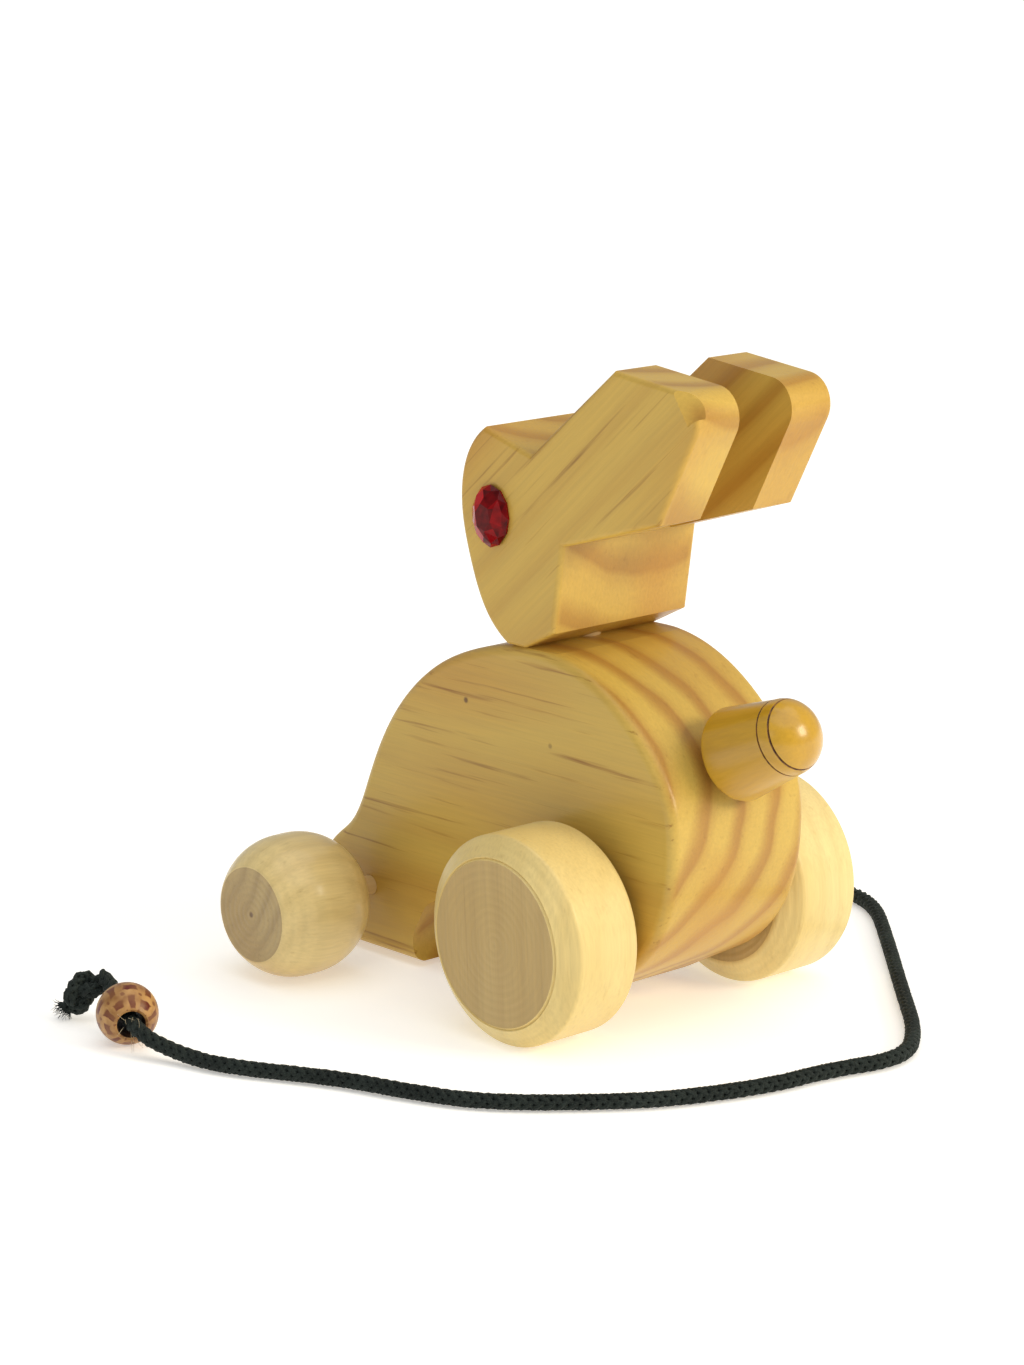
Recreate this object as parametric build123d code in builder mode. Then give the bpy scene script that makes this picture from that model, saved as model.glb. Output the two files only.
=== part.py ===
from build123d import *

import math
import os

# Pull along rabbit: a sawn body and head on two wheelsets, a turned tail and a
# braided pull cord that carries a wooden bead.
# Millimetres. +X points forward (the nose), +Y to the rabbit's left, +Z up.
# The floor is z = 0, and the origin lies on it under the middle of the toy.

os.makedirs("parts", exist_ok=True)

# ---------------------------------------------------------------- body and head
rear_axle_x = -22.5          # rear axle, from the toy's middle
wheelbase = 75.1             # rear axle to front axle
board_thickness = 44.0       # planed board that body and head are sawn from
body_height = 87.0           # floor to the flat on the crown, where the head stands
foot_clearance = 1.5         # floor to the underside
nose_reach = 20.5            # front axle to the tip of the nose
body_round = 2.5             # rounded edges of the body's outline
head_round = 1.2             # rounded edges of the head's outline

arch_height = 19.0           # floor to the roof of the arch in the belly
arch_front = -11.1           # arch's front corner on the floor line, from the front axle
arch_back = 21.0             # arch's back corner, from the rear axle
arch_lean = 30.0             # the arch's walls lean in by this angle, in degrees
arch_corner = 8.0            # radius of the arch's upper corners

ear_slot_width = 17.0        # gap between the ears
ear_paring = ((-29.3, 64.7), (-34.4, 57.1), (-36.0, 61.8))   # on the side, on the side, on the tip
ear_paring_depth = 3.5       # how far in from the side it meets the tip
ear_slot_end = 2.0           # where the gap stops, from the rear axle

# ---------------------------------------------------------------- dowels and axles
dowel_diameter = 8.0         # neck dowel
neck_dowel_x = 22.0          # from the rear axle
neck_dowel_in_body = 16.0
neck_dowel_in_head = 18.0
axle_diameter = 5.0
axle_running_clearance = 0.08    # radial, axle in the body's bore

# ---------------------------------------------------------------- wheels
rear_wheel_gap = 2.0         # body side to wheel
front_wheel_gap = 10.4
rear_wheel_diameter = 50.0
rear_wheel_width = 25.3
rear_wheel_bevel_out = 5.0   # bevel, measured along the radius
rear_wheel_bevel_in = 3.9    # bevel, measured along the axle
rear_wheel_groove = 0.5      # depth of the line turned round the outer face
front_wheel_diameter = 35.0
front_wheel_width = 27.4
front_wheel_face = 23.8      # diameter of the flat end faces
front_wheel_tread = 3.0      # width of the straight middle of the barrel
wheel_wall = 9.0             # wood left outside the blind axle hole

# ---------------------------------------------------------------- tail
tail_seat_x = -28.5          # middle of the tail's flat base, from the rear axle
tail_seat_drop = 20.3        # below the crown
tail_rise = 24.4             # upward tilt of the tail, in degrees
tail_base_diameter = 22.6
tail_neck_diameter = 18.0    # where the cone meets the dome
tail_cone_length = 17.0
tail_dome_height = 7.6
tail_groove_depth = 0.45
tail_groove_pitch = 3.0      # from the first groove to the second
tail_tenon_diameter = 9.0
tail_tenon_length = 20.0
tail_socket_clearance = 0.05

# ---------------------------------------------------------------- eyes
eye_width = 12.0
eye_height = 15.0
eye_thickness = 3.4
eye_bevel = 1.9
eye_x = 30.2                 # from the rear axle
eye_above_crown = 30.0

# ---------------------------------------------------------------- cord
cord_diameter = 4.0
cord_hole_diameter = 5.2
cord_hole_height = 7.5       # above the floor, through the front foot
cord_hole_mouth = 1.8        # flare round the hole's mouth, measured from the nose
anchor_knot_diameter = 9.0
anchor_knot_clearance = 0.3  # knot to the arch's front wall
bead_diameter = 14.5
bead_length = 12.2
bead_hole_diameter = 5.8
bead_hole_flare = 0.8
stopper_knot_length = 13.2
stopper_knot_width = 8.6
frayed_end_diameter = 4.4

# The cord's route, from the knot in the arch to the knot behind the bead. Each
# point is a corner of straight runs, which arcs round off. The lead goes through
# the hole and in front of the toy, with x from the front axle.
cord_lead = [
    (-18.0, 0.0, cord_hole_height),
    (3.9, 0.0, cord_hole_height - 0.05),
    (26.4, 0.0, cord_hole_height - 0.2),
    (47.9, -6.5, 3.2),
    (63.4, -24.0, 2.1),
    (66.4, -50.0, 2.1),
    (53.4, -75.0, 2.1),
    (27.4, -93.0, 2.1),
]
cord_floor = [
    (46.0, -102.5, 2.1),
    (12.0, -99.8, 2.1),
    (-7.0, -98.3, 2.1),
    (-33.0, -74.5, 2.1),
    (-62.0, -47.2, 2.1),
    (-84.0, -27.0, 2.1),
    (-95.0, -11.0, 2.1),
    (-88.8, 9.0, 2.1),
    (-87.3, 24.5, 2.1),
    (-80.5, 43.5, 2.1),
    (-73.0, 56.5, 2.1),
    (-53.5, 79.0, 2.1),
    (-36.0, 87.2, 2.1),
    (-18.5, 92.8, 2.1),
    (4.0, 106.2, 2.1),
    (17.5, 109.2, 2.3),
    (29.1, 113.6, 6.0),
    (45.2, 104.9, 8.53),
    (54.5, 103.6, 11.2),
]
bead_centre = (37.4, 109.1, 7.3)
bead_entry = 24              # number of the route's point in front of the bead
stopper_knot_centre = (58.0, 106.4, 7.0)
stopper_knot_run = (0.72, 0.40, -0.57)
frayed_end_top = (60.0, 107.6, 4.9)
frayed_end_run = (0.40, 0.50, -0.62)
frayed_end_length = 4.6

# ---------------------------------------------------------------- worked out
front_axle_x = rear_axle_x + wheelbase
side = board_thickness / 2
crown_z = body_height
rear_axle_z = rear_wheel_diameter / 2
front_axle_z = front_wheel_diameter / 2
axle_bore_diameter = axle_diameter + 2 * axle_running_clearance
rear_wheel_inner_y = side + rear_wheel_gap
front_wheel_inner_y = side + front_wheel_gap
nose_x = front_axle_x + nose_reach
cord_points = [(front_axle_x + x, y, z) for x, y, z in cord_lead] + cord_floor


def from_rear(x, z):
    """Point of the side view, with x counted from the rear axle."""
    return (rear_axle_x + x, z)


def from_front(x, z):
    """Point of the side view, with x counted from the front axle."""
    return (front_axle_x + x, z)


def above_crown(x, z):
    """Point of the head: x from the rear axle, z from the crown."""
    return (rear_axle_x + x, crown_z + z)


def upright_plane(origin, run):
    """Upright plane through origin, whose local x runs along run."""
    along = Vector(*run).normalized()
    across = Vector(0, 0, 1).cross(along).normalized()
    return Plane(origin=origin, x_dir=along, z_dir=across)


# ---------------------------------------------------------------- shared planes
crown = Plane.XY.offset(crown_z)
neck_end = Plane(origin=(rear_axle_x + neck_dowel_x, 0, crown_z))
tail_angle = math.radians(tail_rise)
tail_seat = (rear_axle_x + tail_seat_x, 0, crown_z - tail_seat_drop)
tail_run = (-math.cos(tail_angle), 0, math.sin(tail_angle))
tail_plane = Plane(origin=tail_seat, x_dir=(0, 1, 0), z_dir=tail_run)
bead_run = Vector(*cord_points[bead_entry + 1]) - Vector(*cord_points[bead_entry])

# ---------------------------------------------------------------- body
with BuildPart() as body:
    with BuildSketch(Plane.XZ):
        with BuildLine():
            back = Spline(
                from_front(nose_reach, 12.5),
                from_front(15.9, 25.8),
                from_front(8.6, 32.2),
                from_front(1.9, crown_z - 42.7),
                from_front(-5.1, crown_z - 28.4),
                from_front(-14.2, crown_z - 17.0),
                from_front(-25.1, crown_z - 8.7),
                from_rear(36.0, crown_z - 2.8),
                from_rear(19.0, crown_z + 0.4),
                from_rear(3.0, crown_z - 1.4),
                from_rear(-10.5, crown_z - 7.8),
                from_rear(-22.5, crown_z - 18.6),
                from_rear(-29.3, crown_z - 30.5),
                from_rear(-30.2, crown_z - 41.0),
                from_rear(-28.2, 33.0),
                from_rear(-21.6, 21.0),
                from_rear(-12.0, foot_clearance + 11.7),
                tangents=[(0, 1), (0.88, -0.475)],
                tangent_scalars=[1, 1],
            )
            haunch = Line(back @ 1, from_rear(5.0, foot_clearance + 2.54))
            heel = TangentArc(haunch @ 1, from_rear(15.1, foot_clearance), tangent=haunch % 1)
            sole = Line(heel @ 1, from_front(12.1, foot_clearance))
            TangentArc(sole @ 1, back @ 0, tangent=sole % 1)
        make_face()
    extrude(amount=side, both=True)
    fillet(body.faces().filter_by(Axis.Y).edges(), radius=body_round)
    # the flat on the crown, where the head stands
    split(bisect_by=crown, keep=Keep.BOTTOM)
    # the arch under the belly
    lean = math.tan(math.radians(arch_lean))
    with BuildSketch(Plane.XZ) as arch:
        with BuildLine():
            Polyline(
                from_front(arch_front + foot_clearance * lean, -foot_clearance),
                from_front(arch_front - arch_height * lean, arch_height),
                from_rear(arch_back + arch_height * lean, arch_height),
                from_rear(arch_back - foot_clearance * lean, -foot_clearance),
                close=True,
            )
        make_face()
        fillet(arch.vertices().group_by(Axis.Z)[-1], radius=arch_corner)
    extrude(amount=board_thickness, both=True, mode=Mode.SUBTRACT)
    # both axle bores, right through
    with BuildSketch(Plane.XZ):
        with Locations((rear_axle_x, rear_axle_z), (front_axle_x, front_axle_z)):
            Circle(axle_bore_diameter / 2)
    extrude(amount=board_thickness, both=True, mode=Mode.SUBTRACT)
    # neck dowel's hole
    with BuildSketch(neck_end):
        Circle(dowel_diameter / 2)
    extrude(amount=-neck_dowel_in_body, mode=Mode.SUBTRACT)
    # flat-bottomed socket for the tail, and the hole for its tenon
    with BuildSketch(tail_plane):
        Circle(tail_base_diameter / 2 + tail_socket_clearance)
    extrude(amount=tail_cone_length, mode=Mode.SUBTRACT)
    with BuildSketch(tail_plane):
        Circle(tail_tenon_diameter / 2)
    extrude(amount=-tail_tenon_length, mode=Mode.SUBTRACT)
    # the cord's hole, from the nose back into the arch
    with BuildSketch(Plane.YZ.offset(front_axle_x)):
        with Locations((0, cord_hole_height)):
            Circle(cord_hole_diameter / 2)
    extrude(amount=wheelbase / 2, both=True, mode=Mode.SUBTRACT)
    # the hole's flared mouth in the nose
    with BuildSketch(Plane.YZ.offset(nose_x)):
        with Locations((0, cord_hole_height)):
            Circle(cord_hole_diameter / 2 + cord_hole_mouth)
    extrude(amount=-cord_hole_mouth, taper=45, mode=Mode.SUBTRACT)
body.part.label = "body"

# ---------------------------------------------------------------- head
with BuildPart() as head:
    with BuildSketch(Plane.XZ) as head_outline:
        with BuildLine():
            face_curve = Spline(
                above_crown(25.5, 0.0),
                above_crown(32.9, 6.5),
                above_crown(38.5, 18.2),
                above_crown(41.7, 33.0),
                above_crown(39.8, 43.1),
                above_crown(33.4, 50.6),
            )
            Polyline(
                face_curve @ 1,
                above_crown(17.5, 46.0),
                above_crown(-9.6, 68.6),
                above_crown(-39.9, 65.3),
                above_crown(-24.3, 35.3),
                above_crown(6.6, 25.9),
                above_crown(9.6, 5.0),
                above_crown(19.5, 0.0),
                face_curve @ 0,
            )
        make_face()
        ear_top = head_outline.vertices().group_by(Axis.Z)[-1]
        ear_tip = head_outline.vertices().group_by(Axis.X)[0]
        fillet(ear_tip, radius=7.0)
        fillet(ear_top, radius=6.0)
    extrude(amount=side, both=True)
    fillet(head.faces().filter_by(Axis.Y).edges(), radius=head_round)
    # the corner pared off the left ear's tip
    pared = [Vector(*above_crown(x, z)) for x, z in ear_paring]
    pared = [Vector(point.X, y, point.Y) for point, y in zip(pared, (side, side, side - ear_paring_depth))]
    paring = Plane(
        origin=pared[0],
        x_dir=pared[1] - pared[0],
        z_dir=(pared[1] - pared[0]).cross(pared[2] - pared[0]),
    )
    with BuildSketch(paring):
        Rectangle(4 * ear_paring_depth, 8 * ear_paring_depth)
    extrude(amount=2 * ear_paring_depth, mode=Mode.SUBTRACT)
    # the gap between the ears
    with BuildSketch(Plane.XZ):
        with Locations(above_crown(ear_slot_end, 0.0)):
            Rectangle(body_height, 2 * body_height, align=(Align.MAX, Align.CENTER))
    extrude(amount=ear_slot_width / 2, both=True, mode=Mode.SUBTRACT)
    # neck dowel's hole
    with BuildSketch(neck_end):
        Circle(dowel_diameter / 2)
    extrude(amount=neck_dowel_in_head, mode=Mode.SUBTRACT)
head.part.label = "head"

# ---------------------------------------------------------------- neck dowel
with BuildPart() as neck_dowel:
    with BuildSketch(neck_end.offset(-neck_dowel_in_body)):
        Circle(dowel_diameter / 2)
    extrude(amount=neck_dowel_in_body + neck_dowel_in_head)
neck_dowel.part.label = "neck_dowel"

# ---------------------------------------------------------------- tail
with BuildPart() as tail:
    with BuildSketch(upright_plane(tail_seat, tail_run)):
        groove_2 = tail_cone_length + tail_groove_pitch
        groove_2_radius = tail_neck_diameter / 2 * math.sqrt(
            1 - (tail_groove_pitch / tail_dome_height) ** 2
        )
        with BuildLine():
            cone = Polyline(
                (-tail_tenon_length, 0),
                (-tail_tenon_length, tail_tenon_diameter / 2),
                (0, tail_tenon_diameter / 2),
                (0, tail_base_diameter / 2),
                (tail_cone_length, tail_neck_diameter / 2),
            )
            dome = EllipticalCenterArc(
                (tail_cone_length, 0),
                tail_dome_height,
                tail_neck_diameter / 2,
                start_angle=0,
                arc_size=90,
            )
            Line(cone @ 0, dome @ 0)
        make_face()
        with Locations(
            (tail_cone_length, tail_neck_diameter / 2), (groove_2, groove_2_radius)
        ):
            Circle(tail_groove_depth, mode=Mode.SUBTRACT)
    revolve(axis=Axis(tail_seat, tail_run))
tail.part.label = "tail"

# ---------------------------------------------------------------- eyes
for name, sign in (("left", 1), ("right", -1)):
    face_plane = Plane(
        origin=(rear_axle_x + eye_x, sign * side, crown_z + eye_above_crown),
        x_dir=(1, 0, 0),
        z_dir=(0, sign, 0),
    )
    with BuildPart() as eye:
        with BuildSketch(face_plane):
            Ellipse(eye_width / 2, eye_height / 2)
        extrude(amount=eye_thickness)
        chamfer(eye.edges().group_by(Axis.Y)[-1 if sign > 0 else 0], length=eye_bevel)
    eye.part.label = f"eye_{name}"
    export_step(eye.part, f"parts/eye_{name}.step")

# ---------------------------------------------------------------- wheels and axles
rear_wheel_profile = [
    (0.0, rear_wheel_diameter / 2 - rear_wheel_bevel_out),
    (rear_wheel_bevel_in, rear_wheel_diameter / 2),
    (rear_wheel_width - rear_wheel_bevel_in, rear_wheel_diameter / 2),
    (rear_wheel_width, rear_wheel_diameter / 2 - rear_wheel_bevel_out),
]


def wheel_plane(axle_x, axle_z, sign, inner_y):
    """Plane through an axle: local x points out of the toy, local y forward."""
    return Plane(
        origin=(axle_x, sign * inner_y, axle_z),
        x_dir=(0, sign, 0),
        z_dir=(0, 0, -sign),
    )


def rear_wheel(sign):
    """Turned wheel, bevelled on both sides, with a blind hole for its axle."""
    plane = wheel_plane(rear_axle_x, rear_axle_z, sign, rear_wheel_inner_y)
    hole_depth = rear_wheel_width - wheel_wall
    with BuildPart() as wheel:
        with BuildSketch(plane):
            with BuildLine():
                Polyline(
                    (0, axle_diameter / 2),
                    *rear_wheel_profile,
                    (rear_wheel_width, 0),
                    (hole_depth, 0),
                    (hole_depth, axle_diameter / 2),
                    close=True,
                )
            make_face()
            with Locations(rear_wheel_profile[-1]):
                Circle(rear_wheel_groove, mode=Mode.SUBTRACT)
        revolve(axis=Axis(plane.origin, plane.x_dir))
    return wheel.part


def front_wheel(sign):
    """Turned barrel wheel with flat ends and a blind hole for its axle."""
    plane = wheel_plane(front_axle_x, front_axle_z, sign, front_wheel_inner_y)
    hole_depth = front_wheel_width - wheel_wall
    shoulder = (front_wheel_width - front_wheel_tread) / 2
    radius = front_wheel_diameter / 2
    with BuildPart() as wheel:
        with BuildSketch(plane):
            with BuildLine():
                tread = Line((shoulder, radius), (front_wheel_width - shoulder, radius))
                outer = TangentArc(
                    tread @ 1,
                    (front_wheel_width, front_wheel_face / 2),
                    tangent=(1, 0),
                )
                inner = TangentArc(
                    tread @ 0,
                    (0, front_wheel_face / 2),
                    tangent=(-1, 0),
                )
                Polyline(
                    outer @ 1,
                    (front_wheel_width, 0),
                    (hole_depth, 0),
                    (hole_depth, axle_diameter / 2),
                    (0, axle_diameter / 2),
                    inner @ 1,
                )
            make_face()
        revolve(axis=Axis(plane.origin, plane.x_dir))
    return wheel.part


def axle(axle_x, axle_z, inner_y, wheel_width):
    """Dowel that reaches from one wheel's blind hole to the other's."""
    half_length = inner_y + wheel_width - wheel_wall
    with BuildPart() as dowel:
        with BuildSketch(Plane.XZ):
            with Locations((axle_x, axle_z)):
                Circle(axle_diameter / 2)
        extrude(amount=half_length, both=True)
    return dowel.part


for name, sign in (("left", 1), ("right", -1)):
    for kind, make_wheel in (("rear", rear_wheel), ("front", front_wheel)):
        wheel_part = make_wheel(sign)
        wheel_part.label = f"{kind}_wheel_{name}"
        export_step(wheel_part, f"parts/{kind}_wheel_{name}.step")

for kind, x, z, inner_y, width in (
    ("rear", rear_axle_x, rear_axle_z, rear_wheel_inner_y, rear_wheel_width),
    ("front", front_axle_x, front_axle_z, front_wheel_inner_y, front_wheel_width),
):
    axle_part = axle(x, z, inner_y, width)
    axle_part.label = f"{kind}_axle"
    export_step(axle_part, f"parts/{kind}_axle.step")

# ---------------------------------------------------------------- cord
corners = [Vector(*point) for point in cord_points]
cord_radii = []
for before, corner, after in zip(corners, corners[1:], corners[2:]):
    turn = math.radians((corner - before).get_angle(after - corner))
    shorter = min((corner - before).length, (after - corner).length)
    cord_radii.append(0.45 * shorter / math.tan(turn / 2))
print("cord radii", [round(radius, 1) for radius in cord_radii])

with BuildPart() as pull_cord:
    with BuildLine() as cord_path:
        FilletPolyline(*cord_points, radius=cord_radii)
    cord_line = cord_path.wire()
    with BuildSketch(Plane(origin=cord_line @ 0, z_dir=cord_line % 0)):
        Circle(cord_diameter / 2)
    sweep(path=cord_line)
pull_cord.part.label = "pull_cord"
cord_section = math.pi * cord_diameter**2 / 4
print("cord length", round(cord_line.length, 1))
cord_ratio = pull_cord.part.volume / (cord_section * cord_line.length)
print("cord volume over section times length", round(cord_ratio, 4))


def oval_knot(centre, run, length, width):
    """Closed oval solid of a knot's outer size, long along run."""
    with BuildPart() as knot:
        with BuildSketch(upright_plane(centre, run)):
            with BuildLine():
                rim = EllipticalCenterArc(
                    (0, 0), length / 2, width / 2, start_angle=0, arc_size=180
                )
                Line(rim @ 1, rim @ 0)
            make_face()
        revolve(axis=Axis(centre, run))
    return knot.part


wall_lean = math.radians(arch_lean)
wall_x_at_hole = front_axle_x + arch_front - cord_hole_height * math.tan(wall_lean)
anchor_reach = (anchor_knot_diameter / 2 + anchor_knot_clearance) / math.cos(wall_lean)
anchor_knot = oval_knot(
    (wall_x_at_hole - anchor_reach, 0, cord_hole_height),
    (1, 0, 0),
    anchor_knot_diameter,
    anchor_knot_diameter,
)
anchor_knot.label = "cord_anchor_knot"

stopper_knot = oval_knot(
    stopper_knot_centre, stopper_knot_run, stopper_knot_length, stopper_knot_width
)
stopper_knot.label = "cord_stopper_knot"

with BuildPart() as frayed_end:
    with BuildSketch(Plane(origin=frayed_end_top, z_dir=frayed_end_run)):
        Circle(frayed_end_diameter / 2)
    extrude(amount=frayed_end_length)
    frayed_rim = frayed_end.edges().filter_by(GeomType.CIRCLE).sort_by(Axis.Z)[0]
    chamfer(frayed_rim, length=frayed_end_diameter / 8)
frayed_end.part.label = "cord_frayed_end"

# ---------------------------------------------------------------- bead
with BuildPart() as cord_bead:
    bead_plane = upright_plane(bead_centre, tuple(bead_run))
    half = bead_length / 2
    face_radius = math.sqrt((bead_diameter / 2) ** 2 - half**2)
    with BuildSketch(bead_plane):
        with BuildLine():
            Polyline(
                (half, face_radius),
                (half, bead_hole_diameter / 2 + bead_hole_flare),
                (half - bead_hole_flare, bead_hole_diameter / 2),
                (bead_hole_flare - half, bead_hole_diameter / 2),
                (-half, bead_hole_diameter / 2 + bead_hole_flare),
                (-half, face_radius),
            )
            ThreePointArc((-half, face_radius), (0, bead_diameter / 2), (half, face_radius))
        make_face()
    revolve(axis=Axis(bead_centre, tuple(bead_run)))
cord_bead.part.label = "cord_bead"

# ---------------------------------------------------------------- files
export_step(body.part, "parts/body.step")
export_step(head.part, "parts/head.step")
export_step(neck_dowel.part, "parts/neck_dowel.step")
export_step(tail.part, "parts/tail.step")
export_step(pull_cord.part, "parts/pull_cord.step")
export_step(anchor_knot, "parts/cord_anchor_knot.step")
export_step(stopper_knot, "parts/cord_stopper_knot.step")
export_step(frayed_end.part, "parts/cord_frayed_end.step")
export_step(cord_bead.part, "parts/cord_bead.step")
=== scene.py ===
"""A wooden rabbit on four wheels, with a braided pull cord and a bead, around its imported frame."""

import logging
import math
import random
from dataclasses import dataclass, field, replace
from enum import Enum

import bmesh
import bpy
from mathutils import Matrix, Vector


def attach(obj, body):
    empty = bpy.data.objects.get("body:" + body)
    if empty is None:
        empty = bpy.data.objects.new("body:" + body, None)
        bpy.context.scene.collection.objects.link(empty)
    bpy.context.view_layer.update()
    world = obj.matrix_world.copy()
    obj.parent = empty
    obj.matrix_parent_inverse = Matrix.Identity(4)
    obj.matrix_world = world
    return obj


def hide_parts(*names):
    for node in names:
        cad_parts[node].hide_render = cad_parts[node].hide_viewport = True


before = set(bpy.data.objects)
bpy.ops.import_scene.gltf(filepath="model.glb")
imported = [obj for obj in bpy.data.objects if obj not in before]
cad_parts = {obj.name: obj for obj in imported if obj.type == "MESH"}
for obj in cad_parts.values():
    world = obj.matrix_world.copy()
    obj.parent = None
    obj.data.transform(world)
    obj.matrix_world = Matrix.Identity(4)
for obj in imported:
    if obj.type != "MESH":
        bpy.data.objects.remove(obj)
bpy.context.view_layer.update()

MM = 0.001
LOG = logging.getLogger("rabbit")

Triple = tuple[float, float, float]
Settings = dict[str, object]
Inputs = dict[str | int, object]

# settings that several shader nodes share
COLOURS: Settings = {"data_type": "RGBA"}
DARKEN: Settings = {"data_type": "RGBA", "blend_type": "MULTIPLY"}
SMOOTH: Settings = {"interpolation_type": "SMOOTHSTEP"}
# a Wave texture of scale 1 repeats every 0.314 m
WAVE_LENGTH = 0.314


class Body(Enum):
    """The moving bodies that pieces ride on."""

    TOY = "toy"
    REAR = "rear_wheelset"
    FRONT = "front_wheelset"


class Side(Enum):
    """The rabbit's own left is +Y."""

    LEFT = 1
    RIGHT = -1


# ---------------------------------------------------------------- small tools


def mm(point: Triple) -> Vector:
    """Turns a point in millimetres into metres."""
    return Vector(point) * MM


def linear(code: str) -> tuple[float, float, float, float]:
    """Turns an sRGB colour into the linear one that shaders use.

    Args:
        code: The colour as six hex digits.

    Returns:
        Red, green, blue and an alpha of 1.
    """
    parts = [int(code[i : i + 2], 16) / 255 for i in (0, 2, 4)]
    red, green, blue = (p / 12.92 if p <= 0.04045 else ((p + 0.055) / 1.055) ** 2.4 for p in parts)
    return red, green, blue, 1.0


def add(
    tree: bpy.types.NodeTree,
    kind: str,
    settings: Settings | None = None,
    inputs: Inputs | None = None,
) -> bpy.types.Node:
    """Adds a shader node with its settings and links.

    Args:
        tree: The material's node tree.
        kind: The node's type, without its ShaderNode prefix.
        settings: Its properties. "stops" gives a colour ramp's places and colours.
        inputs: Its sockets by name or number, each with a value or another node's output.

    Returns:
        The new node.
    """
    node = tree.nodes.new("ShaderNode" + kind)
    for key, value in (settings or {}).items():
        if key == "stops":
            elements = node.color_ramp.elements
            while len(elements) < len(value):
                elements.new(0.5)
            for element, (place, shade) in zip(elements, value):
                element.position = place
                element.color = shade if isinstance(shade, tuple) else (shade, shade, shade, 1)
        else:
            setattr(node, key, value)
    for key, value in (inputs or {}).items():
        if isinstance(value, bpy.types.NodeSocket):
            tree.links.new(value, node.inputs[key])
        else:
            node.inputs[key].default_value = value
    return node


def new_material(name: str) -> tuple[bpy.types.Material, bpy.types.NodeTree, bpy.types.Node]:
    """Starts a material.

    Args:
        name: The finish's name.

    Returns:
        The material, its node tree and its shader.
    """
    material = bpy.data.materials.new(name)
    material.use_nodes = True
    tree = material.node_tree
    return material, tree, tree.nodes["Principled BSDF"]


def turned(profile: list[tuple[float, float]], steps: int = 96) -> bmesh.types.BMesh:
    """Spins a profile round the Z axis, as a lathe does.

    Args:
        profile: Radius and height of each corner, in millimetres, in order.
        steps: How many sides the full turn has.

    Returns:
        The turned shape, with its poles closed and its faces outwards.
    """
    bm = bmesh.new()
    corners = [bm.verts.new(mm((radius, 0, height))) for radius, height in profile]
    edges = [bm.edges.new(pair) for pair in zip(corners, corners[1:])]
    if profile[0][0] > 0 and profile[-1][0] > 0:
        edges.append(bm.edges.new((corners[-1], corners[0])))
    bmesh.ops.spin(
        bm,
        geom=corners + edges,
        cent=(0, 0, 0),
        axis=(0, 0, 1),
        angle=math.tau,
        steps=steps,
        use_merge=True,
    )
    bmesh.ops.remove_doubles(bm, verts=bm.verts[:], dist=1e-6)
    bmesh.ops.recalc_face_normals(bm, faces=bm.faces[:])
    return bm


def soften_rings(bm: bmesh.types.BMesh, rings: list[tuple[float, float, float]], segments: int = 3) -> None:
    """Rounds ring edges of a turned shape.

    Args:
        bm: The turned shape, still round the Z axis.
        rings: Radius, height and rounding of each ring, in millimetres.
        segments: How many facets each rounding has.
    """
    near = 0.02 * MM
    for radius, height, rounding in rings:
        edges = [
            edge
            for edge in bm.edges
            if all(
                abs(vert.co.xy.length - radius * MM) < near and abs(vert.co.z - height * MM) < near
                for vert in edge.verts
            )
        ]
        bmesh.ops.bevel(
            bm,
            geom=edges,
            offset=rounding * MM,
            offset_type="OFFSET",
            affect="EDGES",
            segments=segments,
            profile=0.5,
            material=-1,
        )


def mark_flats(bm: bmesh.types.BMesh) -> None:
    """Gives a turned shape's flat end faces its second material.

    Args:
        bm: The turned shape, still round the Z axis.
    """
    bm.normal_update()
    for face in bm.faces:
        face.material_index = int(abs(face.normal.z) > 0.999)


def curve_mesh(curve: bpy.types.Curve) -> bpy.types.Mesh:
    """Turns a curve into a mesh, and clears the curve away.

    Args:
        curve: The curve, with its splines in place.

    Returns:
        The new mesh.
    """
    holder = bpy.data.objects.new(curve.name, curve)
    mesh = bpy.data.meshes.new_from_object(holder)
    bpy.data.objects.remove(holder)
    bpy.data.curves.remove(curve)
    return mesh


def along(direction: Vector, place: Vector) -> Matrix:
    """Gives the matrix that stands a Z-up shape along a direction at a place."""
    turn = Vector((0, 0, 1)).rotation_difference(direction)
    return Matrix.Translation(place) @ turn.to_matrix().to_4x4()


def mount_wheel(wheel: bmesh.types.BMesh, axle: Triple, inner: float, side: Side) -> bmesh.types.BMesh:
    """Puts a turned wheel on its axle.

    Args:
        wheel: The wheel, whose inner face lies at the origin and whose axis is Z.
        axle: The axle's middle, in millimetres.
        inner: The wheel's inner face, counted from the toy's middle plane.
        side: Which end of the axle it is on.

    Returns:
        The wheel in its place, with its flat faces marked.
    """
    mark_flats(wheel)
    seat = mm((axle[0], side.value * inner, axle[2]))
    place = along(Vector((0, side.value, 0)), seat)
    bmesh.ops.transform(wheel, matrix=place, verts=wheel.verts[:])
    return wheel


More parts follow.
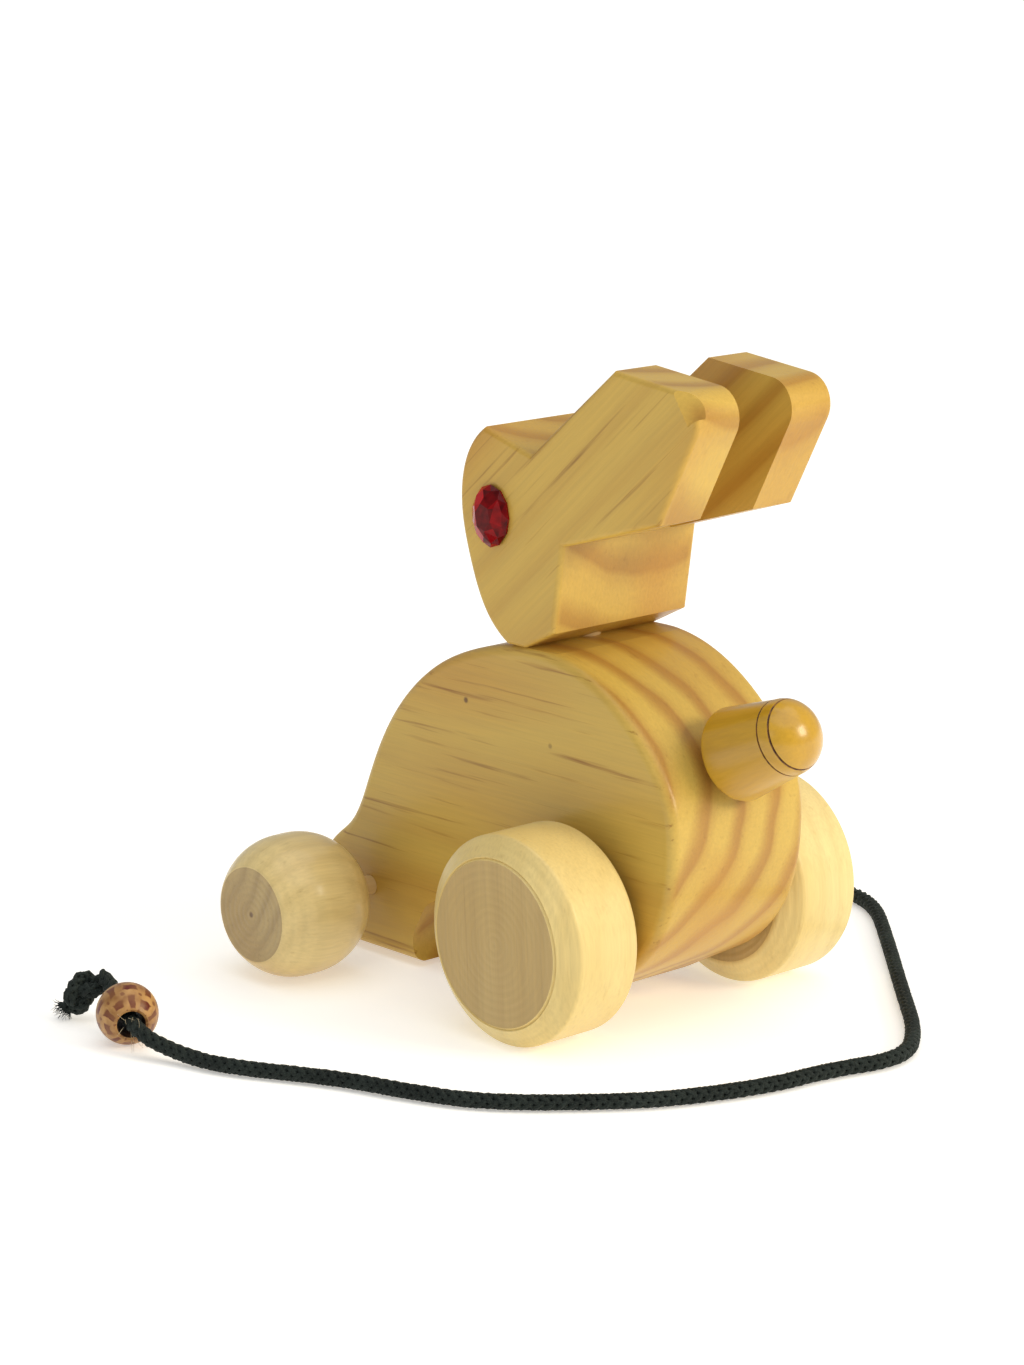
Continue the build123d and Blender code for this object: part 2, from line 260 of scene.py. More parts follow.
def piece(
    name: str,
    shape: bmesh.types.BMesh | bpy.types.Mesh,
    materials: list[bpy.types.Material],
    body: Body,
    nodes: tuple[str, ...] = (),
    smooth_angle: float | None = 40.0,
    even: bool = False,
) -> bpy.types.Object:
    """Makes a finished piece, which rides on a body and stands for CAD nodes.

    Args:
        name: The piece's name.
        shape: Its mesh or bmesh, already in its place.
        materials: Its materials, by face index.
        body: The body that it moves with.
        nodes: The CAD nodes that it stands for.
        smooth_angle: Edges sharper than this many degrees stay sharp. None leaves flat facets.
        even: Whether big flat faces decide the shading beside them.

    Returns:
        The piece's object.
    """
    if isinstance(shape, bmesh.types.BMesh):
        mesh = bpy.data.meshes.new(name)
        shape.to_mesh(mesh)
        shape.free()
    else:
        mesh = shape
        mesh.name = name
    if smooth_angle is None:
        mesh.shade_flat()
    else:
        mesh.shade_smooth()
        mesh.set_sharp_from_angle(angle=math.radians(smooth_angle))
    for material in materials:
        mesh.materials.append(material)
    obj = bpy.data.objects.new(name, mesh)
    bpy.context.scene.collection.objects.link(obj)
    if even:
        modifier = obj.modifiers.new("even_faces", "WEIGHTED_NORMAL")
        modifier.keep_sharp = True
    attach(obj, body.value)
    if nodes:
        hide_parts(*nodes)
    LOG.info("%s: %d faces", name, len(mesh.polygons))
    return obj


# ------------------------------------------------------------------- finishes


@dataclass(frozen=True)
class LatheMarks:
    """Fine rings that a turning tool leaves round an axle."""

    centre: Triple
    spacing_mm: float = 1.3
    strength: float = 0.10


@dataclass(frozen=True)
class PinKnot:
    """A small dark knot in a board, with its place and radius in millimetres."""

    place: Triple
    radius: float
    strength: float = 0.7
    shade: str = "5a3414"


@dataclass(frozen=True)
class Pine:
    """Pine under a thin clear lacquer: broad soft rings, fine fibres, a satin coat."""

    name: str
    pale: str
    late: str
    warm: str
    grain: Triple
    pith: Triple
    ring_mm: float = 8.0
    ring_depth: float = 0.5
    wander_mm: float = 6.0
    streak: float = 0.35
    side_mm: float = 0.0
    side_calm: float = 0.7
    lacquer: float = 0.25
    roughness: float = 0.42
    relief_mm: float = 0.12
    marks: LatheMarks | None = None
    knots: tuple[PinKnot, ...] = ()

    def material(self) -> bpy.types.Material:
        """Builds the wood's material.

        Returns:
            The material.
        """
        material, tree, shader = new_material(self.name)
        whole = add(tree, "TexCoord").outputs["Object"]
        turn = self.board_turn()
        placed = add(
            tree,
            "Mapping",
            None,
            {"Vector": whole, "Location": -(turn @ mm(self.pith)), "Rotation": turn.to_euler()},
        ).outputs[0]
        # rings and clouds wander slowly along the board, so their noise is stretched along the grain
        slow = add(tree, "VectorMath", {"operation": "MULTIPLY"}, {0: placed, 1: (0.22, 1, 1)}).outputs[0]
        depth = self.ring_pattern(tree, placed, slow)
        streakiness = self.streak
        if self.side_mm:
            # the planed sides run along the rings, so rings fade there and streaks show
            out = add(tree, "SeparateXYZ", None, {0: whole}).outputs["Y"]
            out = add(tree, "Math", {"operation": "ABSOLUTE"}, {0: out}).outputs[0]
            rim = {0: out, 1: (self.side_mm - 2.5) * MM, 2: (self.side_mm - 0.2) * MM}
            calm = add(tree, "MapRange", SMOOTH, {**rim, 3: 1.0, 4: 1 - self.side_calm})
            depth = add(tree, "Math", {"operation": "MULTIPLY"}, {0: depth, 1: calm.outputs[0]}).outputs[0]
            show = add(tree, "MapRange", SMOOTH, {**rim, 3: 0.25 * self.streak, 4: self.streak})
            streakiness = show.outputs[0]
        base = add(tree, "Mix", COLOURS, {0: depth, 6: linear(self.pale), 7: linear(self.late)}).outputs[2]
        # broad warm clouds, about as wide as a thumb
        cloud = add(tree, "TexNoise", None, {"Vector": slow, "Scale": 1 / (34 * MM), "Detail": 1.0})
        cloudy = add(tree, "ValToRGB", {"stops": [(0.42, 0.0), (0.66, 0.75)]}, {0: cloud.outputs["Fac"]})
        base = add(tree, "Mix", COLOURS, {0: cloudy.outputs[0], 6: base, 7: linear(self.warm)}).outputs[2]
        # fibres 0.7 mm and streaks 1.7 mm across, drawn out along the grain
        thin = add(tree, "VectorMath", {"operation": "MULTIPLY"}, {0: placed, 1: (0.03, 1, 1)}).outputs[0]
        fibre = add(
            tree,
            "TexNoise",
            None,
            {"Vector": thin, "Scale": 1 / (0.7 * MM), "Detail": 3.0, "Roughness": 0.6},
        ).outputs["Fac"]
        streak = add(
            tree,
            "TexNoise",
            None,
            {"Vector": thin, "Scale": 1 / (1.7 * MM), "Detail": 3.0, "Roughness": 0.65},
        )
        dark = add(tree, "ValToRGB", {"stops": [(0.60, 0.0), (0.76, 1.0)]}, {0: streak.outputs["Fac"]})
        dark = add(tree, "Math", {"operation": "MULTIPLY"}, {0: dark.outputs[0], 1: streakiness})
        base = add(tree, "Mix", DARKEN, {0: dark.outputs[0], 6: base, 7: linear(self.late)}).outputs[2]
        fine = add(tree, "ValToRGB", {"stops": [(0.3, 0.9), (0.66, 1.0)]}, {0: fibre})
        base = add(tree, "Mix", DARKEN, {0: 1.0, 6: base, 7: fine.outputs[0]}).outputs[2]
        relief = fibre
        if self.marks:
            base, relief = self.tool_marks(tree, whole, base, relief)
        for knot in self.knots:
            base = self.pin_knot(tree, placed, base, knot)
        tree.links.new(base, shader.inputs["Base Color"])
        low, high = self.roughness - 0.06, self.roughness + 0.08
        rough = add(tree, "MapRange", None, {0: fibre, 1: 0.3, 2: 0.7, 3: low, 4: high})
        tree.links.new(rough.outputs[0], shader.inputs["Roughness"])
        bump = add(tree, "Bump", None, {"Height": relief, "Strength": 0.5, "Distance": self.relief_mm * MM})
        tree.links.new(bump.outputs[0], shader.inputs["Normal"])
        shader.inputs["Specular IOR Level"].default_value = 0.3
        shader.inputs["Coat Weight"].default_value = self.lacquer
        shader.inputs["Coat Roughness"].default_value = 0.22
        return material

    def board_turn(self) -> Matrix:
        """Gives the turn that lays the grain along X."""
        return Vector(self.grain).normalized().rotation_difference(Vector((1, 0, 0))).to_matrix()

    def ring_pattern(
        self, tree: bpy.types.NodeTree, placed: bpy.types.NodeSocket, slow: bpy.types.NodeSocket
    ) -> bpy.types.NodeSocket:
        """Draws the growth rings.

        Args:
            tree: The material's node tree.
            placed: Coordinates with the pith along X.
            slow: The same, stretched along the grain.

        Returns:
            How much late wood shows.
        """
        wander = add(tree, "TexNoise", None, {"Vector": slow, "Scale": 1 / (24 * MM), "Detail": 2.0})
        bent = add(
            tree,
            "VectorMath",
            {"operation": "MULTIPLY_ADD"},
            {0: wander.outputs["Color"], 1: (self.wander_mm * MM,) * 3, 2: placed},
        ).outputs[0]
        rings = add(
            tree,
            "TexWave",
            {"wave_type": "RINGS", "rings_direction": "X", "wave_profile": "SAW"},
            {"Vector": bent, "Scale": WAVE_LENGTH / (self.ring_mm * MM)},
        )
        # late wood darkens slowly, stops soon, and the next ring starts pale
        season = [(0, 0.45), (0.2, 0.06), (0.5, 0.0), (0.78, 0.85), (0.92, 1.0), (1.0, 0.5)]
        late = add(tree, "ValToRGB", {"stops": season}, {0: rings.outputs["Fac"]})
        return add(
            tree, "Math", {"operation": "MULTIPLY"}, {0: late.outputs[0], 1: self.ring_depth}
        ).outputs[0]

    def tool_marks(
        self,
        tree: bpy.types.NodeTree,
        whole: bpy.types.NodeSocket,
        base: bpy.types.NodeSocket,
        relief: bpy.types.NodeSocket,
    ) -> tuple[bpy.types.NodeSocket, bpy.types.NodeSocket]:
        """Draws the turning tool's rings.

        Args:
            tree: The material's node tree.
            whole: Object coordinates.
            base: The colour so far.
            relief: The height so far.

        Returns:
            The colour and the height with the rings.
        """
        about = add(
            tree, "VectorMath", {"operation": "SUBTRACT"}, {0: whole, 1: mm(self.marks.centre)}
        ).outputs[0]
        spacing = WAVE_LENGTH / (self.marks.spacing_mm * MM)
        tool = add(
            tree,
            "TexWave",
            {"wave_type": "RINGS", "rings_direction": "Y"},
            {"Vector": about, "Scale": spacing, "Distortion": 0.8, "Detail": 2.0},
        ).outputs["Fac"]
        shade = add(tree, "ValToRGB", {"stops": [(0.1, 1 - self.marks.strength), (0.6, 1.0)]}, {0: tool})
        base = add(tree, "Mix", DARKEN, {0: 1.0, 6: base, 7: shade.outputs[0]}).outputs[2]
        relief = add(tree, "Math", {"operation": "ADD"}, {0: relief, 1: tool}).outputs[0]
        return base, relief

    def pin_knot(
        self,
        tree: bpy.types.NodeTree,
        placed: bpy.types.NodeSocket,
        base: bpy.types.NodeSocket,
        knot: PinKnot,
    ) -> bpy.types.NodeSocket:
        """Draws one small knot in the board.

        Args:
            tree: The material's node tree.
            placed: Coordinates with the pith along X.
            base: The colour so far.
            knot: The knot.

        Returns:
            The colour with the knot.
        """
        centre = self.board_turn() @ (mm(knot.place) - mm(self.pith))
        away = add(tree, "VectorMath", {"operation": "DISTANCE"}, {0: placed, 1: centre}).outputs["Value"]
        reach = knot.radius * MM
        spot = add(tree, "MapRange", SMOOTH, {0: away, 1: 0.35 * reach, 2: reach, 3: knot.strength, 4: 0.0})
        return add(tree, "Mix", COLOURS, {0: spot.outputs[0], 6: base, 7: linear(knot.shade)}).outputs[2]


@dataclass(frozen=True)
class BurntLine:
    """Wood charred by a wire held against the turning piece: dark, dull, uneven."""

    name: str = "pine_charred_by_wire"
    char: str = "4f2b0c"
    edge: str = "8f6020"

    def material(self) -> bpy.types.Material:
        """Builds the charred wood's material.

        Returns:
            The material.
        """
        material, tree, shader = new_material(self.name)
        whole = add(tree, "TexCoord").outputs["Object"]
        patch = add(tree, "TexNoise", None, {"Vector": whole, "Scale": 1 / (1.4 * MM), "Detail": 3.0})
        stops = [(0.38, linear(self.char)), (0.66, linear(self.edge))]
        shade = add(tree, "ValToRGB", {"stops": stops}, {0: patch.outputs["Fac"]})
        tree.links.new(shade.outputs[0], shader.inputs["Base Color"])
        relief = {"Height": patch.outputs["Fac"], "Strength": 0.6, "Distance": 0.2 * MM}
        bump = add(tree, "Bump", None, relief)
        tree.links.new(bump.outputs[0], shader.inputs["Normal"])
        shader.inputs["Roughness"].default_value = 0.6
        return material


@dataclass(frozen=True)
class CutAcrylic:
    """Moulded red acrylic on foil: each facet shows its own depth of red, and those that face forward are
    painted lighter as painted light, under a hard gloss.
    """

    name: str = "acrylic_red_faceted"
    deep: str = "4c0003"
    painted_lit: str = "d41018"

    def material(self) -> bpy.types.Material:
        """Builds the gem's material.

        Returns:
            The material.
        """
        material, tree, shader = new_material(self.name)
        facet = add(tree, "Attribute", {"attribute_name": "facet"}).outputs["Fac"]
        whole = add(tree, "TexCoord").outputs["Object"]
        cloud = add(tree, "TexNoise", None, {"Vector": whole, "Scale": 1 / (1.8 * MM), "Detail": 1.0})
        depth = add(
            tree,
            "Math",
            {"operation": "MULTIPLY_ADD", "use_clamp": True},
            {0: cloud.outputs["Fac"], 1: 0.35, 2: facet},
        )
        # the ramp runs from the deep red up to the painted light of the facets that face forward
        stops = [(0.12, linear(self.deep)), (1.1, linear(self.painted_lit))]
        shade = add(tree, "ValToRGB", {"stops": stops}, {0: depth.outputs[0]})
        tree.links.new(shade.outputs[0], shader.inputs["Base Color"])
        shader.inputs["Roughness"].default_value = 0.08
        shader.inputs["IOR"].default_value = 1.49
        shader.inputs["Specular IOR Level"].default_value = 0.16
        return material


@dataclass(frozen=True)
class WaxedCotton:
    """Braided cotton with a little wax: near black with green in it, dull, with a soft fuzz."""

    name: str
    dark: str
    light: str
    fuzz: float = 0.04

    def material(self) -> bpy.types.Material:
        """Builds the yarn's material.

        Returns:
            The material.
        """
        material, tree, shader = new_material(self.name)
        whole = add(tree, "TexCoord").outputs["Object"]
        yarn = add(
            tree,
            "TexNoise",
            None,
            {"Vector": whole, "Scale": 1 / (0.35 * MM), "Detail": 3.0, "Roughness": 0.6},
        ).outputs["Fac"]
        patch = add(tree, "TexNoise", None, {"Vector": whole, "Scale": 1 / (9 * MM), "Detail": 1.0})
        mixed = add(
            tree, "Math", {"operation": "MULTIPLY_ADD"}, {0: patch.outputs["Fac"], 1: 0.4, 2: yarn}
        )
        stops = [(0.52, linear(self.dark)), (0.92, linear(self.light))]
        shade = add(tree, "ValToRGB", {"stops": stops}, {0: mixed.outputs[0]})
        tree.links.new(shade.outputs[0], shader.inputs["Base Color"])
        bump = add(tree, "Bump", None, {"Height": yarn, "Strength": 0.5, "Distance": 0.12 * MM})
        tree.links.new(bump.outputs[0], shader.inputs["Normal"])
        shader.inputs["Roughness"].default_value = 0.75
        shader.inputs["Specular IOR Level"].default_value = 0.2
        shader.inputs["Sheen Weight"].default_value = self.fuzz
        shader.inputs["Sheen Roughness"].default_value = 0.5
        return material


@dataclass(frozen=True)
class PrintedBeadWood:
    """Turned beech, waxed to a satin, with printed red-brown dashes in a basket weave."""

    name: str = "beech_printed_bead"
    tan: str = "bd925a"
    shade: str = "86592c"
    ink: str = "5c190f"
    columns: int = 10
    rows: int = 5
    dash_half: float = 0.40
    dash_waist: float = 0.2

    def material(self) -> bpy.types.Material:
        """Builds the bead's material.

        Returns:
            The material.
        """
        material, tree, shader = new_material(self.name)
        turns = add(tree, "UVMap", {"uv_map": "turns"}).outputs[0]
        whole = add(tree, "TexCoord").outputs["Object"]
        wobble = add(tree, "TexNoise", None, {"Vector": whole, "Scale": 1 / (2.2 * MM), "Detail": 2.0})
        grid = (self.columns, self.rows, 0)
        cells = add(tree, "VectorMath", {"operation": "MULTIPLY"}, {0: turns, 1: grid}).outputs[0]
        cells = add(
            tree,
            "VectorMath",
            {"operation": "MULTIPLY_ADD"},
            {0: wobble.outputs["Color"], 1: (0.35, 0.35, 0), 2: cells},
        ).outputs[0]
        number = add(tree, "VectorMath", {"operation": "FLOOR"}, {0: cells}).outputs[0]
        middle = (0.5, 0.5, 0)
        inside = add(tree, "VectorMath", {"operation": "FRACTION"}, {0: cells}).outputs[0]
        inside = add(tree, "VectorMath", {"operation": "SUBTRACT"}, {0: inside, 1: middle}).outputs[0]
        inside = add(tree, "VectorMath", {"operation": "ABSOLUTE"}, {0: inside}).outputs[0]
        # every other cell lays its dash the other way, as a basket weave does
        place = add(tree, "SeparateXYZ", None, {0: number}).outputs
        total = add(tree, "Math", {"operation": "ADD"}, {0: place[0], 1: place[1]}).outputs[0]
        crossed = add(tree, "Math", {"operation": "PINGPONG"}, {0: total, 1: 1.0}).outputs[0]
        upright, level = (
            add(tree, "VectorMath", {"operation": "DIVIDE"}, {0: inside, 1: size}).outputs[0]
            for size in ((self.dash_half, self.dash_waist, 1), (self.dash_waist, self.dash_half, 1))
        )
        both = add(tree, "Mix", {"data_type": "VECTOR"}, {0: crossed, 4: upright, 5: level}).outputs[1]
        edge = add(tree, "SeparateXYZ", None, {0: both}).outputs
        far = add(tree, "Math", {"operation": "MAXIMUM"}, {0: edge[0], 1: edge[1]}).outputs[0]
        dash = add(tree, "MapRange", SMOOTH, {0: far, 1: 0.8, 2: 1.15, 3: 1.0, 4: 0.0}).outputs[0]
        # a dot in each corner where four cells meet
        rim = add(tree, "VectorMath", {"operation": "SUBTRACT"}, {0: middle, 1: inside}).outputs[0]
        round_off = add(tree, "VectorMath", {"operation": "LENGTH"}, {0: rim}).outputs["Value"]
        dot = add(tree, "MapRange", SMOOTH, {0: round_off, 1: 0.08, 2: 0.15, 3: 0.8, 4: 0.0}).outputs[0]
        printed = add(tree, "Math", {"operation": "MAXIMUM"}, {0: dash, 1: dot}).outputs[0]
        # worn ink and darker wood come in patches
        patch = add(
            tree, "TexNoise", None, {"Vector": whole, "Scale": 1 / (3.5 * MM), "Detail": 3.0}
        ).outputs["Fac"]
        worn = add(tree, "ValToRGB", {"stops": [(0.36, 1.0), (0.68, 0.5)]}, {0: patch}).outputs[0]
        printed = add(tree, "Math", {"operation": "MULTIPLY"}, {0: printed, 1: worn}).outputs[0]
        aged = add(tree, "ValToRGB", {"stops": [(0.35, 0.0), (0.7, 0.9)]}, {0: patch}).outputs[0]
        ground = add(tree, "Mix", COLOURS, {0: aged, 6: linear(self.tan), 7: linear(self.shade)}).outputs[2]
        inked = add(tree, "Mix", COLOURS, {0: printed, 6: ground, 7: linear(self.ink)}).outputs[2]
        tree.links.new(inked, shader.inputs["Base Color"])
        relief = {"Height": printed, "Strength": 0.4, "Distance": 0.12 * MM}
        bump = add(tree, "Bump", {"invert": True}, relief)
        tree.links.new(bump.outputs[0], shader.inputs["Normal"])
        shader.inputs["Roughness"].default_value = 0.38
        shader.inputs["Specular IOR Level"].default_value = 0.35
        return material


@dataclass(frozen=True)
class FloorPaint:
    """A pale painted floor, matt, with the faintest mottling."""

    name: str = "paint_matt_white"
    white: str = "f7f6f3"
    shade: str = "f3f2ee"

    def material(self) -> bpy.types.Material:
        """Builds the floor's material.

        Returns:
            The material.
        """
        material, tree, shader = new_material(self.name)
        whole = add(tree, "TexCoord").outputs["Object"]
        patch = add(tree, "TexNoise", None, {"Vector": whole, "Scale": 6.0, "Detail": 2.0})
        stops = [(0.3, linear(self.shade)), (0.7, linear(self.white))]
        shade = add(tree, "ValToRGB", {"stops": stops}, {0: patch.outputs["Fac"]})
        tree.links.new(shade.outputs[0], shader.inputs["Base Color"])
        shader.inputs["Roughness"].default_value = 0.7
        # a little light of its own keeps the floor pale in the toy's shade
        tree.links.new(shade.outputs[0], shader.inputs["Emission Color"])
        shader.inputs["Emission Strength"].default_value = 0.42
        return material


BODY_PINE = Pine(
    name="pine_body_planed",
    pale="cfae52",
    late="a67330",
    warm="bd8934",
    grain=(1, 0, 0),
    pith=(0, 55, 72),
    ring_mm=11.0,
    ring_depth=0.8,
    wander_mm=9.0,
    streak=0.8,
    side_mm=22.0,
    side_calm=0.78,
    knots=(
        PinKnot((17.1, 22.0, 71.0), 1.0, 0.85),
        PinKnot((-12.1, 22.0, 65.2), 0.9, 0.45),
        PinKnot((9.0, -22.0, 52.0), 1.1, 0.7),
    ),
)
HEAD_PINE = Pine(
    name="pine_head_sawn",
    pale="cfab4e",
    late="a06c24",
    warm="be862a",
    grain=(-0.75, 0, 0.66),
    pith=(34, -5, 148),
    ring_mm=10.0,
    ring_depth=0.66,
    wander_mm=6.0,
    streak=0.7,
    side_mm=22.0,
    side_calm=0.7,
)
DOWEL_WOOD = Pine(
    name="birch_dowel_turned",
    pale="d9bc88",
    late="b08d57",
    warm="cda86a",
    grain=(0, 1, 0),
    pith=(0, 0, 9),
    ring_mm=3.0,
    ring_depth=0.3,
    lacquer=0.0,
)
TAIL_PINE = Pine(
    name="pine_tail_lacquered",
    pale="c89b1e",
    late="9a7014",
    warm="bd8f22",
    grain=(-0.911, 0, 0.413),
    pith=(-44, 30, 50),
    ring_mm=7.0,
    ring_depth=0.3,
    streak=0.15,
    lacquer=0.8,
    roughness=0.34,
    relief_mm=0.05,
    knots=(
        PinKnot((-74.2, 3.0, 78.9), 0.7, 0.8),
        PinKnot((-74.4, -3.6, 76.3), 0.5, 0.9),
        PinKnot((-72.6, 2.5, 72.0), 0.9, 0.5),
    ),
)


# --------------------------------------------------------------- sub-assemblies


@dataclass
class Carcass:
    """The board body, the sawn head and the dowels between them, which keep their CAD shapes."""

    finishes: dict[str, Pine] = field(
        default_factory=lambda: {
            "body": BODY_PINE,
            "head": HEAD_PINE,
            "neck_dowel": DOWEL_WOOD,
            "rear_axle": DOWEL_WOOD,
            "front_axle": DOWEL_WOOD,
        }
    )

    def dress(self) -> None:
        """Gives each CAD node its wood."""
        made: dict[str, bpy.types.Material] = {}
        for node, finish in self.finishes.items():
            if finish.name not in made:
                made[finish.name] = finish.material()
            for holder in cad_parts[node].material_slots:
                holder.material = made[finish.name]
            LOG.info("%s wears %s", node, finish.name)


@dataclass
class RearWheels:
    """Two flat turned wheels with a bevelled rim and a scribed circle, in millimetres."""

    axle: Triple = (-22.5, 0, 25)
    radius: float = 25.0
    face_radius: float = 20.0
    inner: float = 24.0
    width: float = 25.3
    bevel: float = 3.9
    groove: float = 0.5

    def shape(self, side: Side) -> bmesh.types.BMesh:
        """Turns one wheel.

        Args:
            side: Which wheel it is.

        Returns:
            The wheel in its place.
        """
        face, rim, width = self.face_radius, self.radius, self.width
        wheel = turned(
            [
                (0, 0),
                (face, 0),
                (rim, self.bevel),
                (rim, width - self.bevel),
                (face + 0.35, width - 0.25),
                (face, width - self.groove - 0.1),
                (face - 0.4, width),
                (0, width),
            ],
            steps=128,
        )
        soften_rings(
            wheel,
            [
                (face, 0, 0.8),
                (rim, self.bevel, 0.7),
                (rim, width - self.bevel, 0.6),
                (face + 0.35, width - 0.25, 0.15),
            ],
        )
        return mount_wheel(wheel, self.axle, self.inner, side)

    def build(self) -> None:
        """Makes both wheels."""
        for side in Side:
            name = f"rear_wheel_{side.name.lower()}"
            wood = Pine(
                name=f"pine_{name}",
                pale="ecd796",
                late="bf9c58",
                warm="e2c67c",
                grain=(0.06, 0, 1),
                pith=(self.axle[0] + 40 * side.value, side.value * 90, 0),
                ring_mm=6.0,
                ring_depth=0.14,
                streak=0.2,
                lacquer=0.2,
                roughness=0.44,
                marks=LatheMarks(centre=self.axle, spacing_mm=1.9, strength=0.02),
            )
            # the flat faces are painted darker than the rim, as painted shade
            face = replace(
                wood,
                name=f"pine_{name}_face",
                pale="c8ad74",
                late="9a7e4e",
                warm="be9f62",
                ring_depth=0.25,
            )
            finishes = [wood.material(), face.material()]
            piece(
                f"turned_{name}",
                self.shape(side),
                finishes,
                Body.REAR,
                (name,),
                even=True,
            )


@dataclass
class FrontWheels:
    """Two barrel wheels turned from a rod, in millimetres."""

    axle: Triple = (52.6, 0, 17.5)
    radius: float = 17.5
    face_radius: float = 11.9
    inner: float = 32.4
    width: float = 27.4
    tread: float = 3.0
    facets: int = 12

    def shape(self, side: Side) -> bmesh.types.BMesh:
        """Turns one wheel.

        Args:
            side: Which wheel it is.

        Returns:
            The wheel in its place.
        """
        run = (self.width - self.tread) / 2
        drop = self.radius - self.face_radius
        curve = (run * run + drop * drop) / (2 * drop)
        reach = math.asin(run / curve)
        turns = [reach * i / self.facets for i in range(self.facets + 1)]
        arc = [(self.radius - curve * (1 - math.cos(turn)), curve * math.sin(turn)) for turn in turns]
        profile = [(0, 0)] + [(r, run - a) for r, a in reversed(arc)]
        profile += [(r, run + self.tread + a) for r, a in arc] + [(0, self.width)]
        wheel = turned(profile, steps=112)
        soften_rings(wheel, [(self.face_radius, 0, 0.6), (self.face_radius, self.width, 0.25)])
        return mount_wheel(wheel, self.axle, self.inner, side)

    def build(self) -> None:
        """Makes both wheels."""
        for side in Side:
            name = f"front_wheel_{side.name.lower()}"
            hub = (self.axle[0], side.value * (self.inner + self.width), self.axle[2])
            wood = Pine(
                name=f"pine_{name}",
                pale="e8cf8e",
                late="a98a4c",
                warm="cfac66",
                grain=(0.1, 1, 0.05),
                pith=(self.axle[0] + 16 * side.value, 0, self.axle[2] + 20),
                ring_mm=5.0,
                ring_depth=0.16,
                streak=0.25,
                lacquer=0.5,
                roughness=0.36,
                marks=LatheMarks(centre=self.axle, spacing_mm=1.7, strength=0.035),
                knots=(PinKnot(hub, 1.0, 0.8),),
            )
            # end grain soaks up more lacquer and dries darker, and the flat faces are painted darker still,
            # as painted shade
            face = replace(
                wood,
                name=f"pine_{name}_end_grain",
                pale="b89d64",
                late="866a3c",
                warm="ab8c52",
                ring_depth=0.4,
            )
            finishes = [wood.material(), face.material()]
            piece(
                f"turned_{name}",
                self.shape(side),
                finishes,
                Body.FRONT,
                (name,),
                even=True,
            )


@dataclass
class Tail:
    """A turned peg with a domed end and two burnt lines, in millimetres."""

    seat: Triple = (-51.0, 0, 66.7)
    rise: float = 24.4
    base: float = 11.3
    neck: float = 9.0
    length: float = 17.0
    dome: float = 7.6
    lines: tuple[float, float] = (17.0, 20.0)
    tenon: float = 4.5
    tenon_length: float = 19.7
    line_depth: float = 0.4
    line_half: float = 0.22

    def outline(self) -> list[tuple[float, float]]:
        """Draws the peg's profile, with its lines cut in.

        Returns:
            The radius and height of each corner.
        """
        slope = (self.base - self.neck) / self.length
        points = [(0, -self.tenon_length), (self.tenon, -self.tenon_length), (self.tenon, 0)]
        # the base's rim is rounded over by about a millimetre
        points += [(self.base - back, height) for back, height in ((1.0, 0), (0.35, 0.3), (0.12, 1.0))]
        points += [(self.neck + slope * 4, self.length - 4)]
        turns = [math.radians(degrees) for degrees in range(0, 91, 9)]
        cap = [(self.neck * math.cos(turn), self.length + self.dome * math.sin(turn)) for turn in turns]
        skin = [(self.neck + slope * 0.6, self.length - 0.6)] + cap[:-1] + [(0, self.length + self.dome)]
        cuts = [h for line in self.lines for h in (line - self.line_half, line, line + self.line_half)]

        def radius_at(height: float) -> float:
            """Reads the smooth skin's radius at a height."""
            if height <= self.length:
                return self.neck + slope * (self.length - height)
            return self.neck * math.sqrt(max(0.0, 1 - ((height - self.length) / self.dome) ** 2))

        clear = self.line_half + 0.05
        kept = [point for point in skin if all(abs(point[1] - line) > clear for line in self.lines)]
        kept += [(radius_at(h) - (self.line_depth if h in self.lines else 0.0), h) for h in cuts]
        return points + sorted(kept, key=lambda point: point[1])

    def build(self) -> None:
        """Makes the tail, with its lines charred."""
        tail = turned(self.outline(), steps=96)
        for face in tail.faces:
            height = face.calc_center_median().z / MM
            face.material_index = int(any(abs(height - line) < self.line_half for line in self.lines))
        lean = math.radians(self.rise)
        place = along(Vector((-math.cos(lean), 0, math.sin(lean))), mm(self.seat))
        bmesh.ops.transform(tail, matrix=place, verts=tail.verts[:])
        wood, burnt = TAIL_PINE.material(), BurntLine().material()
        piece(
            "turned_tail",
            tail,
            [wood, burnt],
            Body.TOY,
            ("tail",),
            smooth_angle=28.0,
            even=True,
        )


